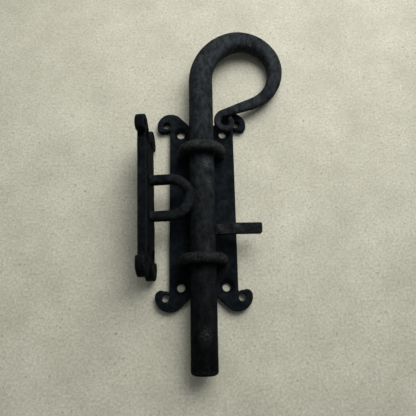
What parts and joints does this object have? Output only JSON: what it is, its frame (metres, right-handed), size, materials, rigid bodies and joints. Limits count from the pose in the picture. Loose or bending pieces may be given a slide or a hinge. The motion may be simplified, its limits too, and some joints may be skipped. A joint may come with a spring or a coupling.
{
  "type": "toggle bolt latch",
  "caption": "Hand-forged round barrel bolt on a scroll-ended backplate, with crook handle, side tab and a matching staple keeper.",
  "frame": {"origin": "centre of the backplate's back face, which lies on the door", "axes": "+Y along the bolt towards its handle, +Z out of the door, +X towards the toggle tab at rest"},
  "size_m": [0.0956, 0.2252, 0.0408],
  "materials": {
    "plate_iron": "forged mild steel under thin matt black, worn along its edges",
    "staple_iron": "forged round wire under thin matt black, rubbed to grey-brown on its crown",
    "bolt_iron": "forged round bar under thin matt black, with hammer marks and small chips",
    "tab_iron": "forged flat bar under thin matt black, rubbed by fingers",
    "keeper_iron": "forged mild steel under thin matt black, worn along its edges"
  },
  "bodies": {
    "latch_plate": {"backplate": "plate_iron", "upper_guide_staple": "staple_iron", "lower_guide_staple": "staple_iron"},
    "shank": {"bolt_shank": "bolt_iron"},
    "handle": {"crook_handle": "bolt_iron", "toggle_tab": "tab_iron"},
    "keeper": {"keeper_plate": "keeper_iron", "keeper_staple": "staple_iron"}
  },
  "joints": [
    {"name": "bolt_slide", "type": "slide", "parent": "latch_plate", "child": "shank", "axis": [0, 1, 0], "range_m": [-0.01, 0.0445]},
    {"name": "bolt_turn", "type": "hinge", "parent": "shank", "child": "handle", "pos_m": [0, 0, 0.01325], "axis": [0, -1, 0], "range_deg": [0, 110]},
    {"name": "keeper_away", "type": "slide", "parent": "latch_plate", "child": "keeper", "axis": [-1, 0, 0], "range_m": [0, 0.032]}
  ]
}
